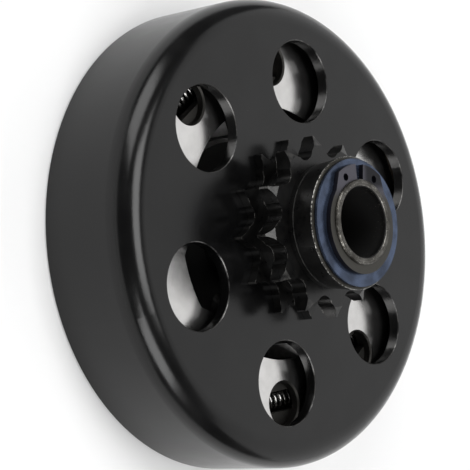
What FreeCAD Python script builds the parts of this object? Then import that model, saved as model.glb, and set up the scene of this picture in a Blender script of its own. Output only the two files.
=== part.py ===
"""Centrifugal clutch with a chain sprocket, as a parametric document.

The clutch stands on the drum's open rim. The origin is the centre of that rim,
+Z runs along the shaft axis towards the sprocket, and +X passes through one of
the drum's face holes. The shoes slide out along +X and -X. Millimetres.
"""
import FreeCAD, Part

import math
import os

import Sketcher
from FreeCAD import Placement, Rotation, Vector

# Driving dimensions: name, value, what it is.
SIZES = (
    ("drum_radius", 54.0, "outside of the drum's wall"),
    ("drum_overhang", 3.3, "rear plate to the plane of the open rim"),
    ("drum_wall", 2.6, "sheet thickness of the drum"),
    ("drum_corner", 5.8, "outside radius of the pressed corner"),
    ("rim_chamfer", 0.4, "broken edge of the open rim"),
    ("face_holes", 6, "round holes in the face"),
    ("hole_web_inner", 4.86, "sprocket teeth to a face hole"),
    ("hole_web_outer", 3.46, "face hole to the pressed corner"),
    ("face_hole_edge", 0.2, "broken edge of a face hole"),
    ("chain_pitch", 9.525, "3/8 inch chain"),
    ("teeth", 12, "sprocket teeth"),
    ("seat_radius", 2.58, "roller seat between two teeth"),
    ("seat_half_angle", 62.0, "half the angle of the roller seat, degrees"),
    ("flank_radius", 7.4, "rounding of a tooth's flank"),
    ("tip_height", 2.2, "tooth tip beyond the pitch circle"),
    ("tip_land", 0.5, "width of a tooth at its tip"),
    ("row_thickness", 4.1, "thickness of the chain's tooth row"),
    ("row_lift", 6.0, "drum face to the chain's tooth row"),
    ("row_front_chamfer_width", 2.3, "radial width of the tooth chamfer towards the collar"),
    ("row_front_chamfer_depth", 1.0, "axial depth of the tooth chamfer towards the collar"),
    ("row_rear_chamfer_width", 0.9, "radial width of the tooth chamfer towards the drum"),
    ("row_rear_chamfer_depth", 0.6, "axial depth of the tooth chamfer towards the drum"),
    ("seat_row_proud", 2.1, "toothed end standing out of the drum face"),
    ("seat_row_through", 0.5, "toothed end standing inside the drum face"),
    ("seat_clearance", 0.03, "toothed end to the toothed hole in the drum"),
    ("relief_depth", 0.3, "turned boss behind the tooth row, below the tooth root"),
    ("relief_length", 1.9, "turned boss behind the tooth row"),
    ("relief_step", 0.7, "turned neck below that boss"),
    ("collar_wall", 2.9, "collar round the bush, at its outer end"),
    ("collar_taper", 0.95, "collar's end wider than where it leaves the tooth row"),
    ("collar_length", 7.75, "tooth row to the collar's end"),
    ("collar_chamfer", 0.35, "broken edges of the collar's end"),
    ("bush_wall", 2.5, "wall of the bronze bush"),
    ("bush_recess", 0.3, "bush end below the collar's end"),
    ("running_clearance", 0.04, "bush to hub tube, radial"),
    ("axial_play", 0.25, "end play of the drum on the hub, each end"),
    ("shaft_radius", 7.9375, "hub bore, 5/8 inch shaft"),
    ("hub_wall", 1.5875, "hub tube, 3/4 inch outside"),
    ("hub_nose", 0.6, "hub tube beyond the snap ring"),
    ("nose_chamfer", 0.3, "broken edges of the hub's nose"),
    ("hub_recess", 0.6, "hub's rear end inside the rim plane"),
    ("rear_boss_step", 4.375, "hub boss that the rear plate fits over, beyond the tube"),
    ("shoulder_step", 3.075, "hub shoulder under the inner washer, beyond the tube"),
    ("key_width", 4.7625, "keyway, 3/16 inch"),
    ("key_depth", 2.3, "keyway below the bore"),
    ("washer_thickness", 0.6, "both thrust washers"),
    ("washer_bore_clearance", 0.08, "thrust washers on the hub tube"),
    ("outer_washer_setback", 0.67, "outer thrust washer inside the collar's edge"),
    ("inner_washer_overhang", 0.8, "inner thrust washer beyond the shoulder"),
    ("ring_thickness", 1.1, "snap ring"),
    ("ring_groove_depth", 0.6, "snap ring groove in the hub tube"),
    ("ring_side_clearance", 0.05, "snap ring in its groove, each side"),
    ("ring_width_thin", 1.7, "snap ring beside its ears"),
    ("ring_width_thick", 2.6, "snap ring opposite its gap"),
    ("ring_gap_half_angle", 6.0, "half the gap between the ears, degrees"),
    ("ring_ear_half_angle", 34.0, "gap centre to the ear's far side, degrees"),
    ("ring_ear_height", 4.08, "outside of the ears above the groove"),
    ("ring_hole_radius", 0.85, "plier holes in the ears"),
    ("ring_hole_inset", 7.0, "plier hole inside the ear's far side, degrees"),
    ("ring_turn", 248.0, "direction of the snap ring's gap, degrees"),
    ("plate_gap", 2.6, "inside of the drum face to the shoes"),
    ("shoe_thickness", 14.4, "shoes along the axis"),
    ("shoe_travel", 0.8, "slide of a shoe from rest to the drum"),
    ("shoe_drum_gap", 0.2, "lining to drum with the shoes out"),
    ("lining_thickness", 3.2, "friction lining"),
    ("lining_half_angle", 66.0, "half the lining's arc, degrees"),
    ("lining_side", 0.3, "lining inside the shoe's faces"),
    ("shoe_end_depth", 18.6, "shoe from its rim to its inner edge near the ends"),
    ("shoe_middle_depth", 16.3, "shoe from its rim to its inner edge at the middle"),
    ("shoe_step_start", 11.0, "end of the middle edge, degrees"),
    ("shoe_step_end", 17.0, "start of the end edges, degrees"),
    ("shoe_edge", 0.35, "broken edge of a shoe's front"),
    ("end_clearance", 0.3, "shoe end to driving lug"),
    ("window_radius", 5.0, "round window over a spring"),
    ("window_run", 4.67, "window's centre along the spring's straight run"),
    ("window_offset", 0.52, "window's centre outside the spring's centre line"),
    ("window_depth", 2.0, "shoe's front to the window's floor"),
    ("slot_inset", 0.6, "slot in the window's floor inside the coils' outside, each side"),
    ("slot_overrun", 3.0, "slot past the window towards the driving lug"),
    ("spring_tilt", 15.7, "bend of the spring at each side of a lug, degrees"),
    ("spring_inset", 9.4, "shoe's rim to the spring's straight run"),
    ("spring_hole_clearance", 0.75, "drilled hole round a spring's coils"),
    ("spring_hole_end", 0.6, "room past the spring's hook"),
    ("coil_radius", 2.5, "mean radius of the spring's coils"),
    ("wire_radius", 0.5, "spring wire"),
    ("coil_pitch", 1.68, "spring coils, one to the next"),
    ("coil_straight", 15.6, "coiled length inside a shoe"),
    ("pin_radius", 1.5, "spring pin"),
    ("pin_length", 12.0, "spring pin"),
    ("hook_clearance", 0.3, "spring hook round its pin"),
    ("lug_half_width", 5.0, "half the width of a driving lug"),
    ("lug_reach", 3.9, "driving lug inside the shoes' inner edge"),
    ("lug_recess", 0.6, "front of the driving lugs below the shoes' front"),
    ("lug_tip_gap", 5.4, "tip of a driving lug to the drum"),
    ("flange_inset", 2.2, "round foot of the driver inside the driving lugs"),
    ("flange_thickness", 2.8, "round foot of the driver"),
    ("arm_step", 1.4, "arms to the driving lugs below the round foot's top"),
    ("flange_chamfer", 0.9, "broken edge of the round foot"),
    ("plate_drum_gap", 4.9, "rear plate to the drum's wall"),
    ("plate_thickness", 1.6, "rear plate"),
    ("plate_clearance", 0.05, "rear plate round the hub boss"),
    ("shoe_plate_gap", 0.3, "rear plate to the shoes"),
    ("rivet_radius", 2.0, "rivet shank"),
    ("rivet_head_radius", 3.5, "rivet head"),
    ("rivet_head_height", 1.1, "rivet head"),
    ("rivet_angle", 45.0, "lug centre line to a rivet, degrees"),
)

# Stations along the axis and other sizes that follow from the driving ones.
DERIVED = (
    ("drum_inner", "drum_radius - drum_wall"),
    ("plate_base", "drum_overhang"),
    ("plate_top", "plate_base + plate_thickness"),
    ("shoe_rear", "plate_top + shoe_plate_gap"),
    ("shoe_front", "shoe_rear + shoe_thickness"),
    ("face_inner", "shoe_front + plate_gap"),
    ("drum_depth", "face_inner + drum_wall"),
    ("pitch_radius", "chain_pitch / (2 * sin(180 / teeth))"),
    ("root_radius", "pitch_radius - seat_radius"),
    ("tip_radius", "pitch_radius + tip_height"),
    ("face_hole_start", "tip_radius + hole_web_inner"),
    ("face_hole_finish", "drum_radius - drum_corner - hole_web_outer"),
    ("face_hole_radius", "(face_hole_finish - face_hole_start) / 2"),
    ("face_hole_circle", "(face_hole_finish + face_hole_start) / 2"),
    ("row_rear", "drum_depth + row_lift"),
    ("row_front", "row_rear + row_thickness"),
    ("collar_end", "row_front + collar_length"),
    ("sprocket_rear", "face_inner - seat_row_through"),
    ("hub_radius", "shaft_radius + hub_wall"),
    ("rear_boss_radius", "hub_radius + rear_boss_step"),
    ("shoulder_radius", "hub_radius + shoulder_step"),
    ("bush_inner", "hub_radius + running_clearance"),
    ("bush_outer", "bush_inner + bush_wall"),
    ("collar_end_radius", "bush_outer + collar_wall"),
    ("collar_base_radius", "collar_end_radius - collar_taper"),
    ("outer_washer_radius", "collar_end_radius - outer_washer_setback"),
    ("inner_washer_radius", "shoulder_radius + inner_washer_overhang"),
    ("shoulder", "sprocket_rear - axial_play - washer_thickness"),
    ("outer_washer_base", "collar_end + axial_play"),
    ("ring_base", "outer_washer_base + washer_thickness + ring_side_clearance"),
    ("ring_top", "ring_base + ring_thickness"),
    ("hub_end", "ring_top + hub_nose"),
    ("groove_radius", "hub_radius - ring_groove_depth"),
    ("ring_ear_radius", "groove_radius + ring_ear_height"),
    ("ring_hole_circle", "(groove_radius + ring_ear_radius) / 2"),
    ("ring_hole_angle", "ring_ear_half_angle - ring_hole_inset"),
    ("lining_outer", "drum_inner - shoe_drum_gap"),
    ("shoe_outer", "lining_outer - lining_thickness"),
    ("shoe_end_radius", "shoe_outer - shoe_end_depth"),
    ("shoe_middle_radius", "shoe_outer - shoe_middle_depth"),
    ("spring_level", "(shoe_front + shoe_rear) / 2"),
    ("spring_line", "shoe_outer - spring_inset"),
    ("spring_hole_radius", "coil_radius + wire_radius + spring_hole_clearance"),
    ("window_floor", "shoe_front - window_depth"),
    ("slot_half_width", "coil_radius + wire_radius - slot_inset"),
    ("lug_front", "shoe_front - lug_recess"),
    ("lug_foot", "shoe_end_radius - lug_reach"),
    ("lug_radius", "drum_inner - lug_tip_gap"),
    ("flange_radius", "lug_foot - flange_inset"),
    ("flange_top", "plate_top + flange_thickness"),
    ("plate_radius", "drum_inner - plate_drum_gap"),
    ("rivet_circle", "(shoulder_radius + flange_radius) / 2"),
    ("rivet_x", "rivet_circle * sin(rivet_angle)"),
    ("rivet_y", "rivet_circle * cos(rivet_angle)"),
    ("shoe_end_face", "lug_half_width + end_clearance"),
    ("spring_foot_x", "spring_line * sin(spring_tilt)"),
    ("spring_foot_y", "spring_line * cos(spring_tilt)"),
    ("window_x", "spring_foot_x + window_run * cos(spring_tilt) + window_offset * sin(spring_tilt)"),
    ("window_y", "spring_foot_y - window_run * sin(spring_tilt) + window_offset * cos(spring_tilt)"),
    ("spring_bend_radius", "shoe_end_face / sin(spring_tilt)"),
    ("spring_entry_run", "(spring_foot_x - shoe_end_face) / cos(spring_tilt)"),
    ("spring_entry_y", "spring_foot_y + spring_entry_run * sin(spring_tilt)"),
    ("spring_top_y", "spring_entry_y + spring_bend_radius * (1 - cos(spring_tilt))"),
    ("hook_radius", "pin_radius + hook_clearance + wire_radius"),
    ("pin_run", "coil_straight - spring_entry_run + hook_radius + wire_radius"),
    ("hole_run", "pin_run + hook_radius + wire_radius + spring_hole_end"),
)

WIRE_SIDES = 5
TURN_STEPS = 6
HOOK_STEPS = 6
HOOK_TURN = 220.0

doc = FreeCAD.newDocument("centrifugal_clutch")


def make_sheet():
    """Fill the spreadsheet with the driving and the derived sizes."""
    page = doc.addObject("Spreadsheet::Sheet", "Sizes")
    for row, (alias, number, meaning) in enumerate(SIZES, start=1):
        page.set("A%d" % row, alias)
        page.set("B%d" % row, str(number))
        page.set("C%d" % row, meaning)
        page.setAlias("B%d" % row, alias)
    doc.recompute()
    for row, (alias, formula) in enumerate(DERIVED, start=len(SIZES) + 1):
        page.set("A%d" % row, alias)
        page.set("B%d" % row, "=" + formula)
        page.setAlias("B%d" % row, alias)
        doc.recompute()
    return page


sheet = make_sheet()
NAMES = sorted([entry[0] for entry in SIZES + DERIVED], key=len, reverse=True)


def size(alias):
    """Return one of the sheet's sizes as a plain number."""
    return float(getattr(sheet, alias))


def linked(formula):
    """Write a formula on aliases the way another object refers to the sheet."""
    words = []
    word = ""
    for letter in formula + " ":
        if letter.isalnum() or letter == "_":
            word += letter
            continue
        words.append("Sizes." + word if word in NAMES else word)
        words.append(letter)
        word = ""
    return "".join(words).strip()


def number(formula):
    """Work out a formula on the sheet's aliases."""
    return float(sheet.evalExpression(formula))


def bind(target, prop, formula):
    """Bind one property of an object to a formula on the sheet."""
    target.setExpression(prop, linked(formula))


def new_body(label):
    """Start a piece made of sketches and features."""
    body = doc.addObject("PartDesign::Body", "Body_" + label)
    body.Label = label
    return body


def new_sketch(body, plane, lift="0"):
    """Attach an empty sketch to one of the body's origin planes, lifted along its normal."""
    sketch = body.newObject("Sketcher::SketchObject", "Sketch")
    origin_plane = [face for face in body.Origin.OriginFeatures if face.Role == plane][0]
    sketch.AttachmentSupport = (origin_plane, "")
    sketch.MapMode = "FlatFace"
    if lift != "0":
        bind(sketch, "AttachmentOffset.Base.z", lift)
    doc.recompute()
    return sketch


def fix_point(sketch, geometry, end, across, up):
    """Hold one point of a sketch at two formulas from the sketch's origin."""
    for kind, axis, formula in (("DistanceX", -2, across), ("DistanceY", -1, up)):
        if formula == "0":
            sketch.addConstraint(Sketcher.Constraint("PointOnObject", geometry, end, axis))
            continue
        held = Sketcher.Constraint(kind, -1, 1, geometry, end, number(formula))
        index = sketch.addConstraint(held)
        sketch.setExpression("Constraints[%d]" % index, linked(formula))


def add_circle(sketch, across, up, radius):
    """Add a circle whose centre and radius follow the sheet."""
    centre = Vector(number(across), number(up), 0)
    geometry = sketch.addGeometry(Part.Circle(centre, Vector(0, 0, 1), number(radius)))
    fix_point(sketch, geometry, 3, across, up)
    index = sketch.addConstraint(Sketcher.Constraint("Radius", geometry, number(radius)))
    sketch.setExpression("Constraints[%d]" % index, linked(radius))


def arc_between(start, end, radius, left):
    """Return the shorter arc between two points, turning left or right on the way."""
    chord = end - start
    half = chord.Length / 2
    height = math.sqrt(max(radius * radius - half * half, 0.0))
    normal = Vector(-chord.y, chord.x, 0).normalize()
    centre = start + chord / 2 + normal * (height if left else -height)
    circle = Part.Circle(centre, Vector(0, 0, 1), radius)
    first, last = (start, end) if left else (end, start)
    angle_first = math.atan2(first.y - centre.y, first.x - centre.x)
    angle_last = math.atan2(last.y - centre.y, last.x - centre.x)
    if angle_last < angle_first:
        angle_last += 2 * math.pi
    return Part.ArcOfCircle(circle, angle_first, angle_last)


def add_outline(sketch, corners):
    """Draw a closed outline of lines and arcs through corners held by the sheet.

    A corner is (across, up), or (across, up, radius, "left" or "right") where
    the edge that leaves it is an arc.
    """
    points = [Vector(number(corner[0]), number(corner[1]), 0) for corner in corners]
    ends = []
    for index, corner in enumerate(corners):
        start = points[index]
        end = points[(index + 1) % len(points)]
        if len(corner) == 2:
            geometry = sketch.addGeometry(Part.LineSegment(start, end))
            ends.append((geometry, 1, 2))
            continue
        left = corner[3] == "left"
        arc = arc_between(start, end, number(corner[2]), left)
        geometry = sketch.addGeometry(arc)
        ends.append((geometry, 1, 2) if left else (geometry, 2, 1))
    for index, (geometry, first, last) in enumerate(ends):
        following, follow_first, _ = ends[(index + 1) % len(ends)]
        joined = Sketcher.Constraint("Coincident", geometry, last, following, follow_first)
        sketch.addConstraint(joined)
        fix_point(sketch, geometry, first, corners[index][0], corners[index][1])
        if len(corners[index]) == 4:
            radius = corners[index][2]
            held = Sketcher.Constraint("Radius", geometry, number(radius))
            sketch.setExpression("Constraints[%d]" % sketch.addConstraint(held), linked(radius))


def feature(body, kind, sketch, **formulas):
    """Add a sketch based feature and bind its lengths."""
    made = body.newObject("PartDesign::" + kind, kind)
    made.Profile = sketch
    sketch.Visibility = False
    for prop, formula in formulas.items():
        bind(made, prop, formula)
    doc.recompute()
    return made


def revolve(body, sketch, kind="Revolution"):
    """Turn a sketch about its own upright axis."""
    made = body.newObject("PartDesign::" + kind, kind)
    made.Profile = sketch
    made.ReferenceAxis = (sketch, ["V_Axis"])
    made.Angle = 360.0
    doc.recompute()
    return made


def turned(label, corners):
    """Make a body by turning a half section, given as radius and station."""
    body = new_body(label)
    sketch = new_sketch(body, "XZ_Plane")
    add_outline(sketch, corners)
    revolve(body, sketch)
    return body


def repeat_round(body, original, count):
    """Repeat a feature round the axis."""
    pattern = body.newObject("PartDesign::PolarPattern", "PolarPattern")
    pattern.Originals = [original]
    turning_axis = [line for line in body.Origin.OriginFeatures if line.Role == "Z_Axis"][0]
    pattern.Axis = (turning_axis, [""])
    pattern.Angle = 360.0
    bind(pattern, "Occurrences", count)
    body.Tip = pattern
    doc.recompute()
    return pattern


def round_edges(shape, level, radius):
    """Name the round edges of a radius that lie at one level."""
    names = []
    for index, edge in enumerate(shape.Edges, start=1):
        if not isinstance(edge.Curve, Part.Circle):
            continue
        same_level = abs(edge.BoundBox.ZMin - level) < 1e-4 and edge.BoundBox.ZLength < 1e-4
        if same_level and abs(edge.Curve.Radius - radius) < 1e-4:
            names.append("Edge%d" % index)
    return names


def chamfer(body, names, width):
    """Break the named edges of the body's last feature."""
    base = body.Tip
    made = body.newObject("PartDesign::Chamfer", "Chamfer")
    made.Base = (base, names)
    bind(made, "Size", width)
    doc.recompute()
    return made


def add_tooth_space(sketch, seat, tip, land):
    """Draw the gap between two teeth, centred on +X and open past the tips."""
    seat_x = "pitch_radius - %s * cos(seat_half_angle)" % seat
    seat_y = "%s * sin(seat_half_angle)" % seat
    corner = "(180 / teeth - asin(%s / 2 / %s) / 1 deg)" % (land, tip)
    tip_x = "%s * cos%s" % (tip, corner)
    tip_y = "%s * sin%s" % (tip, corner)
    outside = "(%s + 2)" % tip
    far_x = "%s * cos%s" % (outside, corner)
    far_y = "%s * sin%s" % (outside, corner)
    add_outline(sketch, [
        (seat_x, "-" + seat_y, "flank_radius", "left"),
        (tip_x, "-%s" % tip_y),
        (far_x, "-%s" % far_y),
        (far_x, far_y),
        (tip_x, tip_y, "flank_radius", "left"),
        (seat_x, seat_y, seat, "left"),
    ])


def cut_tooth_spaces(body, lift, depth, seat, tip, land):
    """Cut the tooth spaces down from a level, all round the body."""
    sketch = new_sketch(body, "XY_Plane", lift)
    add_tooth_space(sketch, seat, tip, land)
    space = feature(body, "Pocket", sketch, Length=depth)
    repeat_round(body, space, "teeth")


def make_drum():
    """Pressed drum: a cup with six face holes and a toothed hole for the sprocket."""
    inner_corner = "(drum_corner - drum_wall)"
    body = turned("drum_cup", [
        ("0", "face_inner"),
        ("drum_inner - " + inner_corner, "face_inner", inner_corner, "right"),
        ("drum_inner", "face_inner - " + inner_corner),
        ("drum_inner", "rim_chamfer"),
        ("drum_inner + rim_chamfer", "0"),
        ("drum_radius - rim_chamfer", "0"),
        ("drum_radius", "rim_chamfer"),
        ("drum_radius", "drum_depth - drum_corner", "drum_corner", "left"),
        ("drum_radius - drum_corner", "drum_depth"),
        ("0", "drum_depth"),
    ])
    sketch = new_sketch(body, "XY_Plane", "drum_depth")
    add_circle(sketch, "face_hole_circle", "0", "face_hole_radius")
    hole = feature(body, "Pocket", sketch, Length="drum_wall")
    repeat_round(body, hole, "face_holes")
    edges = round_edges(body.Shape, size("drum_depth"), size("face_hole_radius"))
    chamfer(body, edges, "face_hole_edge")

    slug = new_body("toothed_hole")
    sketch = new_sketch(slug, "XY_Plane", "face_inner - drum_wall")
    add_circle(sketch, "0", "0", "tip_radius + seat_clearance")
    feature(slug, "Pad", sketch, Length="3 * drum_wall")
    loose_seat = "(seat_radius - seat_clearance)"
    loose_tip = "(tip_radius + seat_clearance)"
    loose_land = "(tip_land + 2 * seat_clearance)"
    cut_tooth_spaces(slug, "drum_depth + drum_wall", "4 * drum_wall", loose_seat, loose_tip, loose_land)

    drum = doc.addObject("Part::Cut", "Drum")
    drum.Base = body
    drum.Tool = slug
    drum.Label = "drum"
    return drum


def make_sprocket():
    """Sprocket turned and cut from one bar: toothed end, relief, tooth row and collar."""
    relief = "(root_radius - relief_depth)"
    proud = "(drum_depth + seat_row_proud)"
    body = turned("sprocket", [
        ("bush_outer", "sprocket_rear"),
        ("tip_radius", "sprocket_rear"),
        ("tip_radius", proud),
        (relief + " - relief_step", proud),
        (relief + " - relief_step", "row_rear - relief_length"),
        (relief, "row_rear - relief_length"),
        (relief, "row_rear"),
        ("tip_radius - row_rear_chamfer_width", "row_rear"),
        ("tip_radius", "row_rear + row_rear_chamfer_depth"),
        ("tip_radius", "row_front - row_front_chamfer_depth"),
        ("tip_radius - row_front_chamfer_width", "row_front"),
        ("collar_base_radius", "row_front"),
        ("collar_end_radius", "collar_end - collar_chamfer"),
        ("collar_end_radius - collar_chamfer", "collar_end"),
        ("bush_outer + collar_chamfer", "collar_end"),
        ("bush_outer", "collar_end - collar_chamfer"),
    ])
    cut_tooth_spaces(body, "row_front", "row_front - sprocket_rear", "seat_radius", "tip_radius", "tip_land")
    return body


def make_bush():
    """Plain bronze bush pressed into the sprocket; it runs on the hub tube."""
    return turned("sprocket_bush", [
        ("bush_inner", "sprocket_rear"),
        ("bush_outer", "sprocket_rear"),
        ("bush_outer", "collar_end - bush_recess - collar_chamfer"),
        ("bush_inner", "collar_end - bush_recess - collar_chamfer"),
    ])


def ring_section(inner, outer, base, top):
    """Return the corners of a flat ring's half section."""
    return [(inner, base), (outer, base), (outer, top), (inner, top)]


def make_washers():
    """Two thrust washers on the hub tube, one at each end of the sprocket."""
    bore = "hub_radius + washer_bore_clearance"
    outer_top = "outer_washer_base + washer_thickness"
    inner_top = "shoulder + washer_thickness"
    turned("outer_thrust_washer", ring_section(bore, "outer_washer_radius", "outer_washer_base", outer_top))
    turned("inner_thrust_washer", ring_section(bore, "inner_washer_radius", "shoulder", inner_top))


def on_circle(radius, angle):
    """Return the two formulas of a point at an angle, in degrees, on a circle."""
    return radius + " * cos(%s)" % angle, radius + " * sin(%s)" % angle


def make_snap_ring():
    """External snap ring: a tapering ring with two wide ears, its gap turned to one side."""
    body = new_body("snap_ring")
    sketch = new_sketch(body, "XY_Plane", "ring_base")
    outer_radius = "((2 * groove_radius + ring_width_thin + ring_width_thick) / 2)"
    offset = "((ring_width_thick - ring_width_thin) / 2)"
    ear_root = "(groove_radius + ring_width_thin)"
    corners = [
        on_circle("groove_radius", "ring_gap_half_angle") + ("groove_radius", "left"),
        on_circle("groove_radius", "100") + ("groove_radius", "left"),
        on_circle("groove_radius", "190") + ("groove_radius", "left"),
        on_circle("groove_radius", "280") + ("groove_radius", "left"),
        on_circle("groove_radius", "(-ring_gap_half_angle)"),
        on_circle("ring_ear_radius", "(-ring_gap_half_angle)") + ("ring_ear_radius", "right"),
        on_circle("ring_ear_radius", "(-ring_ear_half_angle)"),
    ]
    for angle in ("-50", "-120", "180", "120", "50"):
        across = "%s * cos(%s) - %s" % (outer_radius, angle, offset)
        up = "%s * sin(%s)" % (outer_radius, angle)
        last = angle == "50"
        corners.append((across, up) if last else (across, up, outer_radius, "right"))
    corners.append(on_circle("ring_ear_radius", "ring_ear_half_angle") + ("ring_ear_radius", "right"))
    corners.append(on_circle("ring_ear_radius", "ring_gap_half_angle"))
    add_outline(sketch, corners)
    for side in ("", "-"):
        across, up = on_circle("ring_hole_circle", "(%sring_hole_angle)" % side)
        add_circle(sketch, across, up, "ring_hole_radius")
    feature(body, "Pad", sketch, Length="ring_thickness")
    bind(body, "Placement.Rotation.Angle", "ring_turn")
    return body


def make_driver():
    """Driver hub: tube, round foot, two arms and two driving lugs in one piece."""
    body = turned("driver_hub", [
        ("shaft_radius", "hub_recess + nose_chamfer"),
        ("shaft_radius + nose_chamfer", "hub_recess"),
        ("rear_boss_radius - nose_chamfer", "hub_recess"),
        ("rear_boss_radius", "hub_recess + nose_chamfer"),
        ("rear_boss_radius", "plate_top"),
        ("flange_radius", "plate_top"),
        ("flange_radius", "flange_top - flange_chamfer"),
        ("flange_radius - flange_chamfer", "flange_top"),
        ("shoulder_radius", "flange_top"),
        ("shoulder_radius", "shoulder"),
        ("hub_radius", "shoulder"),
        ("hub_radius", "ring_base - ring_side_clearance"),
        ("groove_radius", "ring_base - ring_side_clearance"),
        ("groove_radius", "ring_top + ring_side_clearance"),
        ("hub_radius", "ring_top + ring_side_clearance"),
        ("hub_radius", "hub_end - nose_chamfer"),
        ("hub_radius - nose_chamfer", "hub_end"),
        ("shaft_radius + nose_chamfer", "hub_end"),
        ("shaft_radius", "hub_end - nose_chamfer"),
    ])
    tip_y = "sqrt(lug_radius * lug_radius - lug_half_width * lug_half_width)"
    arm_y = "sqrt(flange_radius * flange_radius - lug_half_width * lug_half_width) - flange_chamfer"
    for inner, top in ((arm_y, "(flange_top - arm_step)"), ("lug_foot", "lug_front")):
        sketch = new_sketch(body, "XY_Plane", "plate_top")
        add_outline(sketch, [
            ("lug_half_width", inner),
            ("lug_half_width", tip_y, "lug_radius", "left"),
            ("-lug_half_width", tip_y),
            ("-lug_half_width", inner),
        ])
        add_outline(sketch, [
            ("-lug_half_width", "-(%s)" % inner),
            ("-lug_half_width", "-" + tip_y, "lug_radius", "left"),
            ("lug_half_width", "-" + tip_y),
            ("lug_half_width", "-(%s)" % inner),
        ])
        feature(body, "Pad", sketch, Length=top + " - plate_top")

    key_reach = "sqrt(shaft_radius * shaft_radius - key_width * key_width / 4) - 0.5"
    sketch = new_sketch(body, "XY_Plane", "shoulder")
    add_outline(sketch, [
        (key_reach, "-key_width / 2"),
        ("shaft_radius + key_depth", "-key_width / 2"),
        ("shaft_radius + key_depth", "key_width / 2"),
        (key_reach, "key_width / 2"),
    ])
    feature(body, "Pocket", sketch, Length="shoulder - hub_recess")

    sketch = new_sketch(body, "XY_Plane", "flange_top")
    for across in ("rivet_x", "-rivet_x"):
        for up in ("rivet_y", "-rivet_y"):
            add_circle(sketch, across, up, "rivet_radius")
    feature(body, "Pocket", sketch, Length="flange_thickness")

    sketch = new_sketch(body, "YZ_Plane", "-lug_half_width")
    for side in ("", "-"):
        add_circle(sketch, side + "(spring_entry_y + spring_top_y) / 2", "spring_level", "spring_hole_radius")
    passage = feature(body, "Pocket", sketch, Length="2 * lug_half_width")
    passage.Reversed = True
    doc.recompute()
    return body


def make_rear_plate():
    """Flat plate behind the shoes, fitted over the hub boss and riveted to the driver."""
    body = new_body("rear_plate")
    sketch = new_sketch(body, "XY_Plane", "plate_base")
    add_circle(sketch, "0", "0", "plate_radius")
    add_circle(sketch, "0", "0", "rear_boss_radius + plate_clearance")
    for across in ("rivet_x", "-rivet_x"):
        for up in ("rivet_y", "-rivet_y"):
            add_circle(sketch, across, up, "rivet_radius")
    feature(body, "Pad", sketch, Length="plate_thickness")
    return body


def make_rivets():
    """Four rivets with a head at each end, through the driver and the rear plate."""
    places = [(side_x, side_y) for side_x in ("", "-") for side_y in ("", "-")]
    for index, (side_x, side_y) in enumerate(places, start=1):
        rivet = turned("plate_rivet_%d" % index, [
            ("0", "plate_base - rivet_head_height"),
            ("rivet_head_radius - rivet_head_height", "plate_base - rivet_head_height"),
            ("rivet_head_radius", "plate_base"),
            ("rivet_radius", "plate_base"),
            ("rivet_radius", "flange_top"),
            ("rivet_head_radius", "flange_top"),
            ("rivet_head_radius - rivet_head_height", "flange_top + rivet_head_height"),
            ("0", "flange_top + rivet_head_height"),
        ])
        bind(rivet, "Placement.Base.x", side_x + "rivet_x")
        bind(rivet, "Placement.Base.y", side_y + "rivet_y")


def spring_sketch(body, level, side):
    """Start a sketch whose X axis runs along the spring of one side, at a level."""
    sketch = new_sketch(body, "XY_Plane", level)
    bind(sketch, "AttachmentOffset.Base.x", "spring_foot_x")
    bind(sketch, "AttachmentOffset.Base.y", "%d * spring_foot_y" % side)
    bind(sketch, "AttachmentOffset.Rotation.Angle", "%d * spring_tilt" % (-side))
    return sketch


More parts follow.
